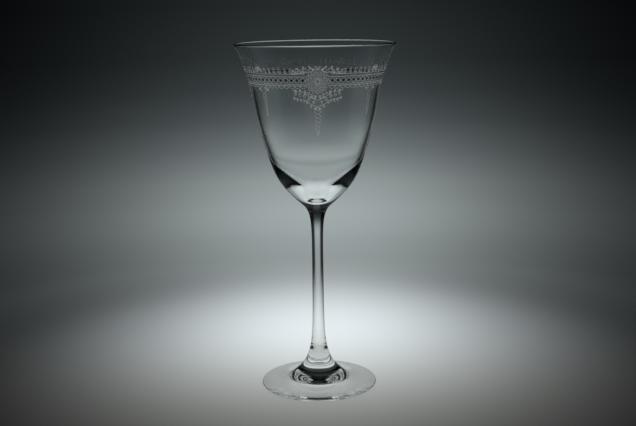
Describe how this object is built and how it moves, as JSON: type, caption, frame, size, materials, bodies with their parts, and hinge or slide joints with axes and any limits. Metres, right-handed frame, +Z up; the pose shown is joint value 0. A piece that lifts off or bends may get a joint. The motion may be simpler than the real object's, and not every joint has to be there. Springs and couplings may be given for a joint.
{
  "type": "red wine glass",
  "caption": "Clear stemmed wine glass with a flared lip, thick-based tapering bowl, slim drawn stem and flat round foot.",
  "frame": {"origin": "centre of the circle that the foot stands on", "axes": "+Z up along the glass's axis of turning; X and Y are alike"},
  "size_m": [0.1, 0.1, 0.218],
  "materials": {
    "bowl_glass": "clear blown glass, polished, with a frosted lace ornament below the lip",
    "stem_glass": "clear drawn glass, fire polished",
    "foot_glass": "clear pressed glass, polished, lightly rubbed where it stands"
  },
  "bodies": {
    "root": {"bowl": "bowl_glass", "stem": "stem_glass", "foot": "foot_glass"}
  },
  "joints": []
}
